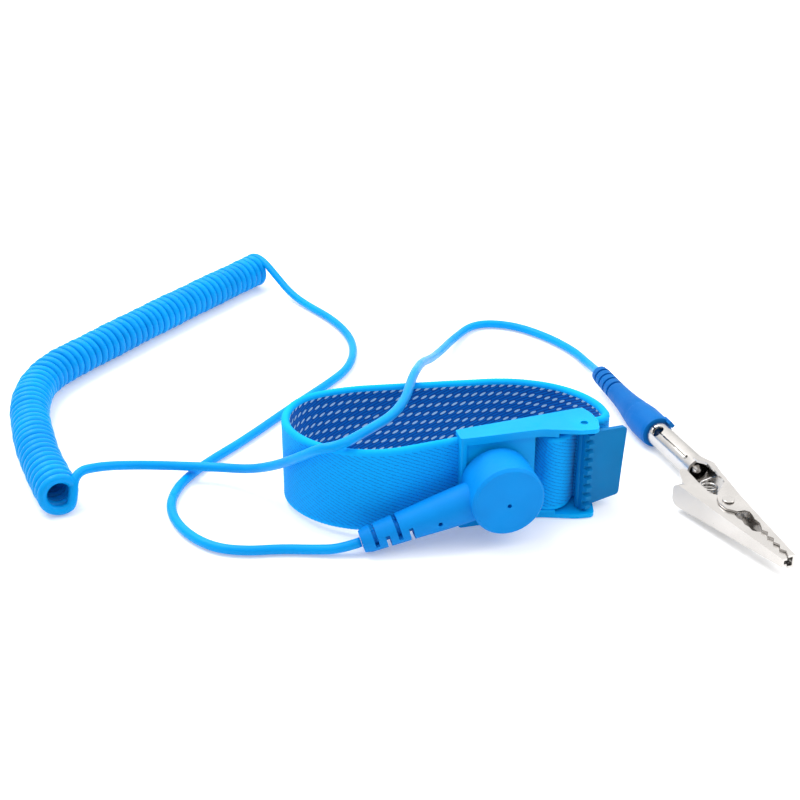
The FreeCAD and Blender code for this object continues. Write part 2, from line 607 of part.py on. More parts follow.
def clip_rivet():
    x, y = CLIP_PIVOT
    half = UPPER_HALF - (x - 1.35 - TAPER_START) * (UPPER_HALF - UPPER_TIP_HALF) / (TIP + 1 - TAPER_START) + 0.01
    shank = rod(V(x, y, -half), V(0, 0, 1), 0.9, 2 * half)
    low_head = rod(V(x, y, -half - 0.3), V(0, 0, 1), 1.35, 0.3)
    high_head = rod(V(x, y, half), V(0, 0, 1), 1.35, 0.3)
    return on_clip(shank.fuse([low_head, high_head]).removeSplitter())


SPRING_CENTRE = (26.3, -2.6)
SPRING_R = 1.9
SPRING_WIRE = 0.6


def jaw_spring():
    """The torsion spring's coil as a sleeve, with one leg under the spine and one on the tail."""
    x, y = SPRING_CENTRE
    coil = turned([(-2.1, SPRING_R - SPRING_WIRE / 2), (-2.1, SPRING_R + SPRING_WIRE / 2),
                   (2.1, SPRING_R + SPRING_WIRE / 2), (2.1, SPRING_R - SPRING_WIRE / 2)], V(x, y, 0), V(0, 0, 1))
    upper_leg = rod(V(x - SPRING_R, y, 1.7), V(-0.25, 1.0, 0), SPRING_WIRE / 2, 3.1)
    lower_leg = rod(V(x - SPRING_R, y, -1.7), V(0.05, -1.0, 0), SPRING_WIRE / 2, 6.6)
    return on_clip(coil.fuse([upper_leg, lower_leg]).removeSplitter())


NODES = [
    elastic_band, buckle_frame, clamp_lever, skin_contact_plate, stud_eyelet, snap_stud,
    cap_overmould, cap_insert, snap_socket, socket_spring, socket_terminal, resistor_body, resistor_leads,
    cord_crimp, cap_cord_core, banana_boot, boot_cord_core, banana_pin, pin_springs,
    clip_upper_jaw, clip_lower_jaw, clip_rivet, jaw_spring,
]

os.makedirs("parts", exist_ok=True)
for make in NODES:
    save(make.__name__, make())
save("cap_lead", tube("cap_lead", CAP_LEAD, CORD_D))
save("inner_lead", tube("inner_lead", INNER_LEAD, CORD_D))
save("coil", tube("coil", COIL, COIL_D))
save("outer_lead", tube("outer_lead", OUTER_LEAD, CORD_D))
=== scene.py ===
import bpy, bmesh
import math
from mathutils import Matrix, Vector


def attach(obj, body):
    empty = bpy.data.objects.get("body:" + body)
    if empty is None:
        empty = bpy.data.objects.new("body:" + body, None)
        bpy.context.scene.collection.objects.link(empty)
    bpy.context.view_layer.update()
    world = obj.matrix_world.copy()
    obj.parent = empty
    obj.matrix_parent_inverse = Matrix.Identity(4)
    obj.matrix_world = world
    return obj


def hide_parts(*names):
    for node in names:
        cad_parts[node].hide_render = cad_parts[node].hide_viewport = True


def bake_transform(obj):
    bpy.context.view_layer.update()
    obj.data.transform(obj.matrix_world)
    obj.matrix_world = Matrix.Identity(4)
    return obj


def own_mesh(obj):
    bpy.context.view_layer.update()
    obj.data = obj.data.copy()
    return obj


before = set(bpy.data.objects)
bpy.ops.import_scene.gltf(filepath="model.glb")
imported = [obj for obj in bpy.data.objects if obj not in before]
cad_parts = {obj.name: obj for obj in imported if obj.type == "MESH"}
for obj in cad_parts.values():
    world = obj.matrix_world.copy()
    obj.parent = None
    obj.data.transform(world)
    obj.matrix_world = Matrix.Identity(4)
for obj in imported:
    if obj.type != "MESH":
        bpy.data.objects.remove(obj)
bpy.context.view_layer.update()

MM = 0.001


def at(x, y, z):
    """A point given in millimetres."""
    return Vector((x, y, z)) * MM


# ---------------------------------------------------------------- shader helpers
class Graph:
    """A material's node tree.  Sums and products of sockets are written with the methods below."""

    def __init__(self, name):
        self.material = bpy.data.materials.new(name)
        self.material.use_nodes = True
        self.tree = self.material.node_tree
        self.shader = self.tree.nodes["Principled BSDF"]

    def node(self, kind, **settings):
        made = self.tree.nodes.new(kind)
        for key, value in settings.items():
            setattr(made, key, value)
        return made

    def put(self, socket, value):
        if isinstance(value, bpy.types.NodeSocket):
            self.tree.links.new(value, socket)
        else:
            socket.default_value = value

    def math(self, operation, *values):
        made = self.node("ShaderNodeMath", operation=operation)
        for i, value in enumerate(values):
            self.put(made.inputs[i], value)
        return made.outputs[0]

    def mix(self, share, low, high):
        made = self.node("ShaderNodeMix", data_type="RGBA")
        self.put(made.inputs["Factor"], share)
        self.put(made.inputs["A"], low)
        self.put(made.inputs["B"], high)
        return made.outputs["Result"]

    def ramp(self, value, low, high, out_low=0.0, out_high=1.0):
        made = self.node("ShaderNodeMapRange", interpolation_type="SMOOTHSTEP")
        for i, given in enumerate((value, low, high, out_low, out_high)):
            self.put(made.inputs[i], given)
        return made.outputs[0]

    def position(self):
        return self.node("ShaderNodeTexCoord").outputs["Object"]

    def uv(self):
        split = self.node("ShaderNodeSeparateXYZ")
        self.put(split.inputs[0], self.node("ShaderNodeUVMap", uv_map="cloth").outputs[0])
        return split.outputs[0], split.outputs[1]

    def noise(self, per_mm, detail=3.0, roughness=0.55, where=None):
        made = self.node("ShaderNodeTexNoise")
        self.put(made.inputs["Vector"], where or self.position())
        made.inputs["Scale"].default_value = per_mm / MM
        made.inputs["Detail"].default_value = detail
        made.inputs["Roughness"].default_value = roughness
        return made.outputs["Fac"]

    def bump(self, height, depth_mm, strength=1.0):
        made = self.node("ShaderNodeBump")
        made.inputs["Strength"].default_value = strength
        made.inputs["Distance"].default_value = depth_mm * MM
        self.put(made.inputs["Height"], height)
        self.put(self.shader.inputs["Normal"], made.outputs[0])

    def set(self, **values):
        for key, value in values.items():
            self.put(self.shader.inputs[key.replace("_", " ")], value)


def rgb(r, g, b):
    return (r, g, b, 1.0)


def plastic(name, colour, dark, rough, grain_mm=0.02, subsurface=0.0, speck=0.35):
    """A moulded plastic: slow drifts of colour, fine grain and scattered rubbed spots."""
    g = Graph(name)
    drift = g.ramp(g.noise(0.06, 2.0), 0.35, 0.7)
    g.set(Base_Color=g.mix(drift, rgb(*dark), rgb(*colour)))
    rubbed = g.ramp(g.noise(speck, 5.0, 0.65), 0.45, 0.75, rough, rough + 0.16)
    g.set(Roughness=rubbed)
    g.shader.inputs["IOR"].default_value = 1.47
    g.shader.inputs["Specular IOR Level"].default_value = 0.12
    if subsurface:
        g.shader.inputs["Subsurface Weight"].default_value = subsurface
        g.shader.inputs["Subsurface Radius"].default_value = (0.3, 0.7, 1.0)
        g.shader.inputs["Subsurface Scale"].default_value = 1.2 * MM
    g.bump(g.noise(2.2, 3.0), grain_mm, 0.6)
    return g.material


def plated(name, tint, rough, stretch=(1, 1, 1), dark=0.82):
    """Nickel plate: soft clouding and fine rolling lines."""
    g = Graph(name)
    mapping = g.node("ShaderNodeMapping")
    g.put(mapping.inputs["Vector"], g.position())
    mapping.inputs["Scale"].default_value = stretch
    lines = g.noise(1.6, 5.0, 0.6, mapping.outputs[0])
    clouds = g.ramp(g.noise(0.15, 3.0), 0.3, 0.75)
    g.set(Base_Color=g.mix(clouds, rgb(*[c * dark for c in tint]), rgb(*tint)))
    g.shader.inputs["Metallic"].default_value = 1.0
    g.set(Roughness=g.ramp(lines, 0.3, 0.75, rough, rough + 0.08))
    g.bump(lines, 0.004, 0.4)
    return g.material


RIB_PITCH = 0.86           # the outside's slanted ribs, measured across the band
RIB_SLOPE = 0.5
STITCH = 1.2               # length of one stitch of a rib
ROW_PITCH = 2.2            # the inside's rows of light threads
THREAD_PITCH = 2.0
THREAD_SHIFT = 0.35        # from one row to the next, in pitches
THREAD_SLANT = math.radians(30)
THREAD_HALF = (0.8, 0.27)   # half of a thread's length and of its width
TWILL_PER_MM = 8.5          # phase of the fine lines between the threads


def fract(value):
    return value - math.floor(value)


def rib_height(along, across):
    """0 in a groove to 1 on a rib's stitch, at a place on the outside in millimetres."""
    rib = (across - RIB_SLOPE * along) / RIB_PITCH
    from_middle = fract(rib) - 0.5
    in_stitch = fract(along / STITCH + 0.5 * math.floor(rib)) - 0.5
    return 1 - 4 * from_middle**2 * (0.4 + 2.4 * in_stitch**2)


def thread_height(along, across):
    """1 on the middle of a light thread of the inside, 0 off it."""
    row = across / ROW_PITCH
    v = (fract(row) - 0.5) * ROW_PITCH
    u = (fract(along / THREAD_PITCH - THREAD_SHIFT * math.floor(row)) - 0.5) * THREAD_PITCH
    a = u * math.cos(THREAD_SLANT) + v * math.sin(THREAD_SLANT)
    b = v * math.cos(THREAD_SLANT) - u * math.sin(THREAD_SLANT)
    return max(0.0, 1 - (a / THREAD_HALF[0]) ** 2 - (b / THREAD_HALF[1]) ** 2)


def cloth_material(name, inside):
    """The woven band.  The cloth map holds millimetres along the band and across it."""
    g = Graph(name)
    along, across = g.uv()
    fuzz = g.noise(3.0, 4.0)
    blotch = g.noise(0.25, 3.0)
    if inside:
        row = g.math("DIVIDE", across, ROW_PITCH)
        v = g.math("MULTIPLY", g.math("SUBTRACT", g.math("FRACT", row), 0.5), ROW_PITCH)
        shift = g.math("MULTIPLY", g.math("FLOOR", row), THREAD_SHIFT)
        cell = g.math("FRACT", g.math("SUBTRACT", g.math("DIVIDE", along, THREAD_PITCH), shift))
        u = g.math("MULTIPLY", g.math("SUBTRACT", cell, 0.5), THREAD_PITCH)
        cos, sin = math.cos(THREAD_SLANT), math.sin(THREAD_SLANT)
        a = g.math("ADD", g.math("MULTIPLY", u, cos), g.math("MULTIPLY", v, sin))
        b = g.math("SUBTRACT", g.math("MULTIPLY", v, cos), g.math("MULTIPLY", u, sin))
        length_share = g.math("ABSOLUTE", g.math("DIVIDE", a, THREAD_HALF[0]))
        width_share = g.math("ABSOLUTE", g.math("DIVIDE", b, THREAD_HALF[1]))
        far = g.math("ADD", g.math("POWER", length_share, 2.0), g.math("POWER", width_share, 2.0))
        thread = g.ramp(far, 0.7, 1.35, 1.0, 0.0)
        halo = g.ramp(far, 1.2, 3.4, 1.0, 0.0)
        slanted = g.math("SUBTRACT", across, g.math("MULTIPLY", along, RIB_SLOPE))
        fine = g.math("SINE", g.math("MULTIPLY", slanted, TWILL_PER_MM))
        tone = g.math("ADD", fine, g.math("MULTIPLY", g.math("SUBTRACT", fuzz, 0.5), 2.0))
        ground = g.mix(g.ramp(tone, -0.9, 0.9), rgb(0.0, 0.065, 0.32), rgb(0.0, 0.15, 0.55))
        ground = g.mix(g.math("MULTIPLY", halo, 0.6), ground, rgb(0.0, 0.035, 0.19))
        thread_colour = g.mix(fuzz, rgb(0.22, 0.45, 0.72), rgb(0.52, 0.72, 0.88))
        g.set(Base_Color=g.mix(thread, ground, thread_colour))
        g.set(Roughness=g.ramp(thread, 0.0, 1.0, 0.85, 0.5))
        raised = g.math("ADD", g.math("MULTIPLY", thread, 0.6), g.math("MULTIPLY", fuzz, 0.5))
        g.bump(raised, 0.08, 0.7)
    else:
        slanted = g.math("SUBTRACT", across, g.math("MULTIPLY", along, RIB_SLOPE))
        rib = g.math("DIVIDE", slanted, RIB_PITCH)
        from_middle = g.math("SUBTRACT", g.math("FRACT", rib), 0.5)
        shift = g.math("MULTIPLY", g.math("FLOOR", rib), 0.5)
        stitch = g.math("FRACT", g.math("ADD", g.math("DIVIDE", along, STITCH), shift))
        in_stitch = g.math("SUBTRACT", stitch, 0.5)
        groove = g.math("MULTIPLY", g.math("MULTIPLY", from_middle, from_middle), 4.0)
        end = g.math("ADD", g.math("MULTIPLY", g.math("MULTIPLY", in_stitch, in_stitch), 2.4), 0.4)
        height = g.math("SUBTRACT", 1.0, g.math("MULTIPLY", groove, end))
        tone = g.math("ADD", height, g.math("MULTIPLY", g.math("SUBTRACT", fuzz, 0.5), 0.9))
        low = g.mix(blotch, rgb(0.0, 0.07, 0.45), rgb(0.0, 0.12, 0.58))
        g.set(Base_Color=g.mix(g.ramp(tone, 0.05, 0.95), low, rgb(0.0, 0.38, 0.92)))
        g.set(Roughness=0.8)
        g.bump(g.math("ADD", height, fuzz), 0.06, 0.8)
    g.shader.inputs["Sheen Weight"].default_value = 0.04
    g.shader.inputs["Specular IOR Level"].default_value = 0.1
    g.shader.inputs["Sheen Roughness"].default_value = 0.5
    return g.material


# ---------------------------------------------------------------- mesh helpers
def mesh_object(name, verts, faces, material=None):
    mesh = bpy.data.meshes.new(name)
    mesh.from_pydata([tuple(v) for v in verts], [], faces)
    mesh.validate()
    made = bpy.data.objects.new(name, mesh)
    bpy.context.scene.collection.objects.link(made)
    if material:
        mesh.materials.append(material)
    return made


def shade(obj, degrees=35):
    """Smooth shading, with creases where faces meet at more than the angle."""
    obj.data.shade_smooth()
    bm = bmesh.new()
    bm.from_mesh(obj.data)
    for e in bm.edges:
        e.smooth = not (e.is_manifold and e.calc_face_angle(0) > math.radians(degrees))
    bm.to_mesh(obj.data)
    bm.free()


def apply_modifiers(obj):
    bpy.context.view_layer.update()
    evaluated = obj.evaluated_get(bpy.context.evaluated_depsgraph_get())
    done = bpy.data.meshes.new_from_object(evaluated)
    obj.modifiers.clear()
    obj.data = done


def refined(node, name, body, material, bevel_mm, segments=3, degrees=34):
    """A copy of a CAD piece with its hard edges rounded, in the CAD piece's place."""
    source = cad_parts[node]
    mesh = source.data.copy()
    mesh.materials.clear()
    mesh.materials.append(material)
    made = bpy.data.objects.new(name, mesh)
    bpy.context.scene.collection.objects.link(made)
    bm = bmesh.new()
    bm.from_mesh(mesh)
    bmesh.ops.remove_doubles(bm, verts=bm.verts, dist=0.002 * MM)
    bmesh.ops.dissolve_degenerate(bm, edges=bm.edges, dist=0.002 * MM)
    bmesh.ops.dissolve_limit(bm, angle_limit=math.radians(0.6), verts=bm.verts, edges=bm.edges)
    bm.to_mesh(mesh)
    bm.free()
    bevel = made.modifiers.new("round", "BEVEL")
    bevel.width = bevel_mm * MM
    bevel.segments = segments
    bevel.limit_method = "ANGLE"
    bevel.angle_limit = math.radians(degrees)
    bevel.use_clamp_overlap = True
    apply_modifiers(made)
    shade(made, 32)
    even = made.modifiers.new("even", "WEIGHTED_NORMAL")
    even.keep_sharp = True
    even.weight = 80
    apply_modifiers(made)
    own(made, body)
    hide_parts(node)
    return made


def own(obj, body):
    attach(obj, body)


def spline_curve(name, points, radius_mm, material=None, resolution=12):
    """One open smooth curve with those control points, in millimetres, as a round cord."""
    data = bpy.data.curves.new(name, "CURVE")
    data.dimensions = "3D"
    data.resolution_u = resolution
    data.bevel_depth = radius_mm * MM
    data.bevel_resolution = 5
    data.use_fill_caps = True
    spline = data.splines.new("NURBS")
    spline.points.add(len(points) - 1)
    for target, point in zip(spline.points, points):
        target.co = (*at(*point), 1.0)
    spline.order_u = 3
    spline.use_endpoint_u = True
    if material:
        data.materials.append(material)
    made = bpy.data.objects.new(name, data)
    bpy.context.scene.collection.objects.link(made)
    return made


def points_along(route, resolution=16):
    """Points, in millimetres, on the smooth curve of a route."""
    bare = spline_curve("route", route, 0.0, resolution=resolution)
    bpy.context.view_layer.update()
    mesh = bpy.data.meshes.new_from_object(bare)
    found = [v.co / MM for v in mesh.vertices]
    bpy.data.meshes.remove(mesh)
    bpy.data.objects.remove(bare)
    return found


def evenly(points, step):
    """The same line with points a fixed step apart."""
    found = [points[0].copy()]
    left = step
    for a, b in zip(points, points[1:]):
        run = (b - a).length
        while run >= left:
            a = a + (b - a) * (left / run)
            run = (b - a).length
            found.append(a.copy())
            left = step
        left -= run
    if (found[-1] - points[-1]).length > 0.3 * step:
        found.append(points[-1].copy())
    else:
        found[-1] = points[-1].copy()
    return found


def tube(name, path, radius_mm, sides, material):
    """A mesh tube round a path of points in millimetres, closed at both ends."""
    verts, faces = [], []
    tangent = (path[1] - path[0]).normalized()
    side = tangent.orthogonal().normalized()
    for i, point in enumerate(path):
        following = (path[min(i + 1, len(path) - 1)] - path[max(i - 1, 0)]).normalized()
        side = (tangent.rotation_difference(following) @ side).normalized()
        tangent = following
        other = tangent.cross(side)
        for k in range(sides):
            angle = 2 * math.pi * k / sides
            verts.append((point + (side * math.cos(angle) + other * math.sin(angle)) * radius_mm) * MM)
    for i in range(len(path) - 1):
        for k in range(sides):
            a, b = i * sides + k, i * sides + (k + 1) % sides
            faces.append((a, b, b + sides, a + sides))
    faces.append(tuple(range(sides))[::-1])
    faces.append(tuple(range((len(path) - 1) * sides, len(path) * sides)))
    made = mesh_object(name, verts, faces, material)
    made.data.shade_smooth()
    return made


# ---------------------------------------------------------------- materials
CORD = plastic("cord_jacket", (0.0, 0.34, 0.82), (0.0, 0.29, 0.74), 0.34, 0.008, 0.1, 0.2)
BUCKLE = plastic("buckle_plastic", (0.0, 0.42, 0.90), (0.0, 0.35, 0.80), 0.4, 0.01, 0.1, 0.15)
LEVER = plastic("lever_plastic", (0.0, 0.185, 0.47), (0.0, 0.15, 0.40), 0.45, 0.01, 0.05, 0.15)
CAP = plastic("cap_plastic", (0.0, 0.26, 0.74), (0.0, 0.22, 0.66), 0.52, 0.03, 0.05)
BOOT = plastic("boot_plastic", (0.0, 0.145, 0.47), (0.0, 0.115, 0.40), 0.5, 0.02, 0.03)
INNER = plastic("insert_plastic", (0.0, 0.2, 0.5), (0.0, 0.17, 0.45), 0.6, 0.03)
NICKEL = plated("nickel_plate", (0.66, 0.635, 0.61), 0.2, (0.25, 1.0, 1.0), 0.9)
STEEL = plated("brushed_steel", (0.74, 0.74, 0.75), 0.3, (0.1, 1.0, 3.0))
SPRING = plated("spring_wire", (0.62, 0.60, 0.58), 0.22)
COPPER = plated("tinned_copper", (0.78, 0.60, 0.45), 0.28)
LACQUER = plastic("resistor_lacquer", (0.55, 0.42, 0.26), (0.5, 0.37, 0.22), 0.35, 0.01)
CLOTH_OUT = cloth_material("band_outside", False)
CLOTH_IN = cloth_material("band_inside", True)
# painted shade: a near-black cloth for the outside of the band's free end behind the cam, where it lies in
# shade
CLOTH_PAINTED_SHADE = plastic("band_tail_painted_shade", (0.0, 0.02, 0.13), (0.0, 0.015, 0.10), 0.9, 0.05)
SELVAGE = plastic("band_edge", (0.0, 0.45, 0.97), (0.0, 0.38, 0.90), 0.7, 0.05)

# ---------------------------------------------------------------- camera, floor and light
CAMERA_AT = (-82.2, -275.4, 171.6)
camera = bpy.data.objects.new("camera", bpy.data.cameras.new("camera"))
bpy.context.scene.collection.objects.link(camera)
camera.location = at(*CAMERA_AT)
camera.rotation_euler = (math.radians(63), 0, math.radians(-14.35))
camera.data.sensor_width = 36
camera.data.lens = 65.35
camera.data.clip_start = 0.01
bpy.context.scene.camera = camera
bpy.context.scene.view_settings.view_transform = "Standard"

floor = mesh_object("floor", [(-4, -4, 0), (4, -4, 0), (4, 4, 0), (-4, 4, 0)], [(0, 1, 2, 3)])
floor_paint = Graph("floor_paint")
floor_paint.set(Base_Color=rgb(0.8, 0.8, 0.8), Roughness=0.9)
floor_paint.shader.inputs["Emission Color"].default_value = rgb(1, 1, 1)
floor_paint.shader.inputs["Emission Strength"].default_value = 0.26
floor.data.materials.append(floor_paint.material)
floor.location.z = -0.0002


def soft_light(name, place, size, power, target=(0, 30, 0)):
    data = bpy.data.lights.new(name, "AREA")
    data.shape = "DISK"
    data.size = size
    data.energy = power
    made = bpy.data.objects.new(name, data)
    made.location = at(*place)
    made.rotation_euler = (at(*target) - at(*place)).to_track_quat("-Z", "Y").to_euler()
    bpy.context.scene.collection.objects.link(made)


soft_light("key", (-250, 250, 650), 0.45, 3.2)
soft_light("fill", (450, -150, 450), 0.4, 1.0)


def studio_world():
    """A white studio: brightest overhead and behind, dimmer towards the camera."""
    made = bpy.data.worlds.new("studio")
    made.use_nodes = True
    tree = made.node_tree
    split = tree.nodes.new("ShaderNodeSeparateXYZ")
    tree.links.new(tree.nodes.new("ShaderNodeTexCoord").outputs["Generated"], split.inputs[0])
    behind = tree.nodes.new("ShaderNodeMapRange")
    tree.links.new(split.outputs[1], behind.inputs[0])
    for slot, value in zip(behind.inputs[1:5], (-1.0, 1.0, 0.06, 0.75)):
        slot.default_value = value
    above = tree.nodes.new("ShaderNodeMapRange")
    tree.links.new(split.outputs[2], above.inputs[0])
    for slot, value in zip(above.inputs[1:5], (0.0, 1.0, 0.0, 1.1)):
        slot.default_value = value
    total = tree.nodes.new("ShaderNodeMath")
    tree.links.new(behind.outputs[0], total.inputs[0])
    tree.links.new(above.outputs[0], total.inputs[1])
    tree.links.new(total.outputs[0], tree.nodes["Background"].inputs[1])
    tree.nodes["Background"].inputs[0].default_value = rgb(1, 1, 1)
    return made


world = studio_world()
bpy.context.scene.world = world

# ---------------------------------------------------------------- cords
# Route points in millimetres, used as the smooth curve's control points.  The first stretch and
# the coil have the CAD's points.  The inner lead leaves out the CAD's last point.  The outer lead
# leaves out its first, runs on to the plug, and lies up to 2.5 lower where it crosses the band.
CORD_D = 2.2
CAP_LEAD = [
    (-24.85, -17.4, 2.8), (-29.3, -17.3, 1.6), (-34.8, -15.4, 1.15), (-41.7, -13.3, 1.15),
    (-49.2, -12.3, 1.15), (-56.0, -9.0, 1.15), (-61.2, -1.0, 1.15), (-63.2, 9.1, 1.15),
    (-61.7, 13.95, 1.15),
]
INNER_LEAD = [
    (-61.7, 13.95, 1.15), (-60.2, 18.8, 1.15),
    (-53.3, 27.2, 1.15), (-41.5, 37.2, 1.15), (-28.0, 50.8, 1.15), (-15.0, 62.9, 1.15),
    (-8.0, 70.6, 1.15), (-4.0, 81.1, 1.15), (-3.2, 92.1, 1.15), (-5.6, 104.0, 1.15),
    (-10.8, 116.0, 1.15), (-14.0, 123.5, 2.0), (-17.0, 129.8, 5.2), (-19.4, 134.4, 7.9),
]
COIL = [
    (-21.7, 138.3, 4.9), (-49.5, 114.2, 4.9), (-75.0, 90.6, 4.9), (-88.0, 78.2, 4.9),
    (-92.3, 62.0, 4.9), (-91.6, 45.0, 4.9), (-90.0, 30.0, 4.9), (-86.6, 14.1, 4.9),
]
OUTER_LEAD = [
    (-83.0, 18.0, 8.7), (-76.5, 21.9, 7.2), (-68.0, 24.2, 5.0),
    (-59.0, 23.6, 3.8), (-50.0, 20.6, 3.8), (-43.6, 13.6, 6.2), (-38.9, 4.6, 11.6),
    (-35.0, -3.2, 17.4), (-32.0, -8.9, 22.0), (-27.8, -10.9, 23.2), (-20.9, -5.9, 23.2),
    (-13.4, 0.4, 22.8), (-8.2, 8.6, 22.4), (-5.0, 16.6, 22.2), (-1.6, 25.0, 20.9),
    (3.6, 37.5, 17.0), (9.6, 52.0, 10.2), (16.6, 67.0, 4.8), (24.6, 81.0, 1.7),
    (33.4, 90.6, 1.15), (43.2, 87.4, 1.15), (50.4, 77.4, 1.15), (54.8, 66.0, 1.15),
    (55.4, 56.4, 1.5), (54.8, 50.2, 2.9), (54.05, 44.95, 4.1), (54.41, 32.46, 4.1), (54.77, 20.47, 4.1),
]
COIL_R = 3.8
COIL_PITCH = 2.28
TURN_POINTS = 12           # control points in one turn
CONTROL_SHARE = 0.975      # how near the smooth curve comes to its control points in a turn


def coil_points():
    """The helix round the coil's middle line, its turns touching on the inside of each bend."""
    centre = evenly(points_along(COIL, 40), 0.15)
    found = []
    phase = math.radians(75)
    next_point = phase
    for i in range(1, len(centre) - 1):
        tangent = (centre[i + 1] - centre[i - 1]).normalized()
        left = Vector((-tangent.y, tangent.x, 0)).normalized()
        before = (centre[i] - centre[i - 1]).normalized()
        after = (centre[i + 1] - centre[i]).normalized()
        bend = before.cross(after).z / (centre[i + 1] - centre[i]).length
        step = (centre[i] - centre[i - 1]).length * (1 - COIL_R * max(bend, 0))
        phase += 2 * math.pi * step / COIL_PITCH
        while next_point <= phase:
            turn = next_point / (2 * math.pi)
            wobble = 0.06 * math.sin(turn * 2.3) + 0.05 * math.sin(turn * 0.71 + 1.0)
            reach = (COIL_R + wobble) / CONTROL_SHARE
            out = left * math.cos(next_point) + Vector((0, 0, 1)) * math.sin(next_point)
            place = centre[i] + out * reach + Vector((0, 0, 0.12))
            found.append(tuple(place))
            next_point += 2 * math.pi / TURN_POINTS
    return found


helix = coil_points()
cord = spline_curve("cord", INNER_LEAD + helix + OUTER_LEAD, CORD_D / 2, CORD, 8)
own(cord, "root")
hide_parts("inner_lead", "coil", "outer_lead", "boot_cord_core")

first_path = evenly(points_along(CAP_LEAD, 40), 0.8)
first_cord = tube("cord_from_cap", first_path, CORD_D / 2, 24, CORD)
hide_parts("cap_lead")
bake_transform(first_cord)

# ---------------------------------------------------------------- wrist band
# It is drawn from the buckle's corner, in the buckle's own millimetres.
BUCKLE_AT = Vector((-1.5, -8.9, 0))
BAND_WIDTH = 20.0
BAND_HALF = 0.95           # half of the band's thickness
BEAD = 1.15                # height of the rolled edge
BAND_SLOPE = 1.25 / 30.2   # the lower edge sags towards the table at the back
BAND_BACK = 32.2
ACROSS_STEP = 0.18
ALONG_STEP = 0.26
WEAVE_DEPTH = 0.12
FREE_END_Y = 1.05          # the free end, 0.36 nearer the lever's teeth than the CAD's band
RETURN_DROP = 2.24         # from the start of the tight bend to the free end
RETURN_R = 3.4
RETURN_RUN = 4.5
TAIL = 13.0                # the free end behind the cam, its outside painted dark as shade
TAIL_MARGIN = 4            # how far before the tail the weave is already flat


def band_line():
    """The middle line of the band in plan: from behind the plate, left, round the wrist
    and in behind the cam."""
    x, y, heading = 13.0, -1.2, math.pi
    found = [Vector((x, y, 0))]

    def ahead(length):
        nonlocal x, y
        x += math.cos(heading) * length
        y += math.sin(heading) * length
        found.append(Vector((x, y, 0)))

    def turn(radius, degrees):
        nonlocal heading
        pieces = max(2, int(radius * abs(math.radians(degrees)) / 0.25))
        for _ in range(pieces):
            bend = math.radians(degrees) / pieces
            heading -= bend / 2
            ahead(2 * radius * math.sin(abs(bend) / 2))
            heading -= bend / 2

    ahead(12.0)
    turn(20, -7)
    ahead(10.6)
    for radius, degrees in ((20, 55), (21, 25), (16, 50), (12, 45), (35, 20)):
        turn(radius, degrees)
    ahead(27.4)
    for radius, degrees in ((27, 30), (21.5, 45), (12, 10)):
        turn(radius, degrees)
    ahead((y - FREE_END_Y - RETURN_DROP) / -math.sin(heading))
    turn(RETURN_R, 97)
    ahead(RETURN_RUN)
    turn(10, -10)
    ahead(x - 13.6)
    return found


def band_low(point):
    return BAND_SLOPE * (BAND_BACK - point.y)


def band_profile(width):
    """Points round the band's section: distance out from the middle, height from the lower
    edge, and the side."""
    count = int((width - 2 * BEAD) / ACROSS_STEP)
    rows = [BEAD + (width - 2 * BEAD) * i / count for i in range(count + 1)]
    points = [(BAND_HALF - WEAVE_DEPTH, z, "out") for z in rows]
    turns = [math.pi * (i + 0.5) / 10 for i in range(10)]
    points += [
        (BAND_HALF * math.cos(t), width - BAND_HALF + BAND_HALF * math.sin(t), "edge") for t in turns
    ]
    points += [(WEAVE_DEPTH - BAND_HALF, z, "in") for z in rows[::-1]]
    points += [
        (-BAND_HALF * math.cos(t), BAND_HALF - BAND_HALF * math.sin(t), "edge") for t in turns
    ]
    return points


def woven(name, line, low, width, lean=None, start=0.0, tail=0.0):
    """A piece of the band along a line in plan, with its weave raised and its cloth map in millimetres;
    the outside of its last tail millimetres is painted dark as shade.
    """
    line = evenly(line, ALONG_STEP)
    profile = band_profile(width)
    count = len(profile)
    verts, faces, sides, cloth = [], [], [], []
    for i, point in enumerate(line):
        ahead = (line[min(i + 1, len(line) - 1)] - line[max(i - 1, 0)]).normalized()
        left = Vector((-ahead.y, ahead.x, 0))
        along = start + i * ALONG_STEP
        base = low(point)
        in_tail = (len(line) - i) * ALONG_STEP < tail + TAIL_MARGIN
        ripple = 0.04 * math.sin(along * 0.9) + 0.03 * math.sin(along * 0.37 + 1)
        if in_tail:
            ripple = 0.0
        for out, z, side in profile:
            if side == "out":
                out += WEAVE_DEPTH * rib_height(along, z) + ripple * 0.5
            elif side == "in":
                out -= WEAVE_DEPTH * thread_height(along, z) - ripple * 0.5
            else:
                out += 0.05 * math.sin(7.0 * along + 3 * z) * (1 if out > 0 else -1)
            if in_tail:
                # flat and a little thinner, which leaves room for the shut lever's teeth
                out = min(out, BAND_HALF - WEAVE_DEPTH)
            place = point + left * out + BUCKLE_AT
            place.z = base + z
            if lean:
                place += lean(point, z)
            verts.append(place * MM)
            cloth.append((along, z))
    index = {"out": 0, "in": 1, "edge": 2}
    for i in range(len(line) - 1):
        for k in range(count):
            a, b = i * count + k, i * count + (k + 1) % count
            faces.append((a, a + count, b + count, b))
            pair = (profile[k][2], profile[(k + 1) % count][2])
            plain = index[pair[0]] if pair[0] == pair[1] else 2
            # the outside of the last tail millimetres gets the painted-shade cloth
            shaded = plain == 0 and (len(line) - i) * ALONG_STEP < tail
            sides.append(3 if shaded else plain)
    faces.append(tuple(range(count)))
    faces.append(tuple(range((len(line) - 1) * count, len(line) * count))[::-1])
    sides += [2, 2]
    made = mesh_object(name, verts, faces)
    for material in (CLOTH_OUT, CLOTH_IN, SELVAGE, CLOTH_PAINTED_SHADE):
        made.data.materials.append(material)
    made.data.polygons.foreach_set("material_index", sides)
    layer = made.data.uv_layers.new(name="cloth")
    layer.data.foreach_set("uv", [c for loop in made.data.loops for c in cloth[loop.vertex_index]])
    made.data.shade_smooth()
    return made


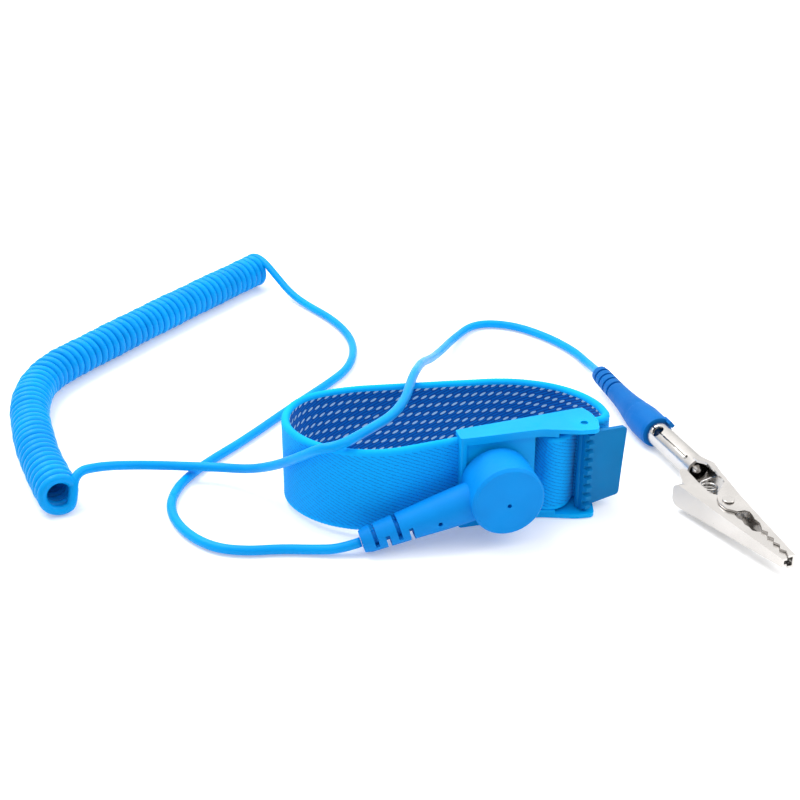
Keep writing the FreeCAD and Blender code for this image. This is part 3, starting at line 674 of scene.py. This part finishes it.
band = woven("wrist_band", band_line(), band_low, BAND_WIDTH, tail=TAIL)
own(band, "root")
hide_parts("elastic_band")

# The band's turn in the buckle's window.  It is drawn here only: the CAD has no solid for it.
WINDOW_LINE = [
    (27.6, 1.0), (26.3, -0.9), (24.6, -3.0), (22.2, -4.1), (19.6, -3.6), (17.6, -1.2), (16.6, -0.3),
]
WINDOW_WIDTH = 18.7
WINDOW_LOW = 1.5
WINDOW_START = 160.0       # where the turn's weave starts on the cloth map


def window_lean(point, z):
    """The strap's left turn leans to the right towards its top."""
    return Vector((max(0.0, (21.5 - point.x) / 4.9) * 0.13 * z, 0, 0))


window_path = points_along([(x, y, 0) for x, y in WINDOW_LINE], 20)
window_strap = woven(
    "window_strap", window_path, lambda point: WINDOW_LOW, WINDOW_WIDTH, window_lean, WINDOW_START,
)
own(window_strap, "root")
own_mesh(window_strap)

# ---------------------------------------------------------------- buckle, lever, cap, boot and clip
refined("buckle_frame", "buckle", "root", BUCKLE, 0.28)
refined("clamp_lever", "lever", "clamp_lever", LEVER, 0.18)
refined("cap_overmould", "cap", "snap_cap", CAP, 0.22)
refined("banana_boot", "boot", "root", BOOT, 0.2)
refined("clip_upper_jaw", "clip_upper", "clip", NICKEL, 0.1, 2)
refined("clip_lower_jaw", "clip_lower", "clip_jaw", NICKEL, 0.3, 4)
refined("clip_rivet", "rivet", "clip", NICKEL, 0.12, 3)

CLIP_AT = Vector((55.82, 8.215, 4.1))
CLIP_HEADING = math.radians(-85)
SPRING_AT = (26.3, -2.6)
SPRING_R = 1.9
SPRING_TURNS = 4
SPRING_SIDES = 20          # points in one turn
SPRING_TOP = 1.75          # half of the coil's length, between the jaw's cheeks
WIRE_R = 0.27


def on_clip(s, t, z):
    """A point, in millimetres, drawn from the mouth of the clip's barrel along its axis."""
    return CLIP_AT + Matrix.Rotation(CLIP_HEADING, 3, "Z") @ Vector((s, t, z))


spring_path = [on_clip(s, t, SPRING_TOP) for s, t in ((23.65, 0.35), (23.9, -0.8), (24.25, -2.0))]
for i in range(SPRING_TURNS * SPRING_SIDES + 1):
    angle = math.pi + 2 * math.pi * i / SPRING_SIDES
    s = SPRING_AT[0] + SPRING_R * math.cos(angle)
    t = SPRING_AT[1] + SPRING_R * math.sin(angle)
    spring_path.append(on_clip(s, t, SPRING_TOP - 2 * SPRING_TOP * i / (SPRING_TURNS * SPRING_SIDES)))
spring_path += [on_clip(24.4 + 0.05 * i, -2.6 - i, -SPRING_TOP) for i in range(1, 7)]
spring_path.append(on_clip(24.72, -9.15, -SPRING_TOP))
spring = tube("jaw_spring_wire", spring_path, WIRE_R, 12, SPRING)
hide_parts("jaw_spring")
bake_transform(spring)

CARRIED = {
    "skin_contact_plate": STEEL, "stud_eyelet": NICKEL, "snap_stud": NICKEL,
    "cap_insert": INNER, "snap_socket": NICKEL, "socket_spring": SPRING, "socket_terminal": NICKEL,
    "resistor_body": LACQUER, "resistor_leads": COPPER, "cord_crimp": NICKEL, "cap_cord_core": CORD,
    "banana_pin": NICKEL, "pin_springs": NICKEL,
}
for node, paint in CARRIED.items():
    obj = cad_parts[node]
    obj.data.materials.clear()
    obj.data.materials.append(paint)

bpy.context.view_layer.update()
